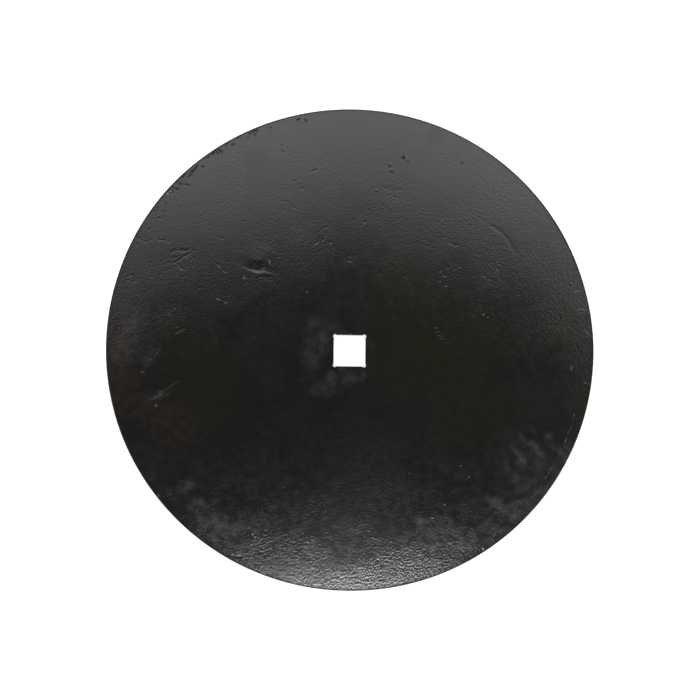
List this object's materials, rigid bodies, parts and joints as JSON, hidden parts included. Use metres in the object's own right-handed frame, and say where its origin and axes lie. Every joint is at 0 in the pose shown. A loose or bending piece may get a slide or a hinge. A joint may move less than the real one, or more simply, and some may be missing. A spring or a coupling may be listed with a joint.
{
  "type": "harrow disc blade",
  "caption": "Round dished steel harrow disc blade, painted black, with a square axle hole whose corners are relieved and a rim ground to a bevel on its back.",
  "frame": {"origin": "on the blade's axis, level with the lowest edge of the square axle hole on its back", "axes": "+Z is the blade's axis, from its back towards its open side; the sides of the square hole run along X and Y"},
  "size_m": [0.5588, 0.5588, 0.0771],
  "materials": {
    "black_paint": "semi-gloss black dip paint with orange peel, dust and finger marks"
  },
  "bodies": {
    "root": {"disc_blade": "black_paint"}
  },
  "joints": []
}
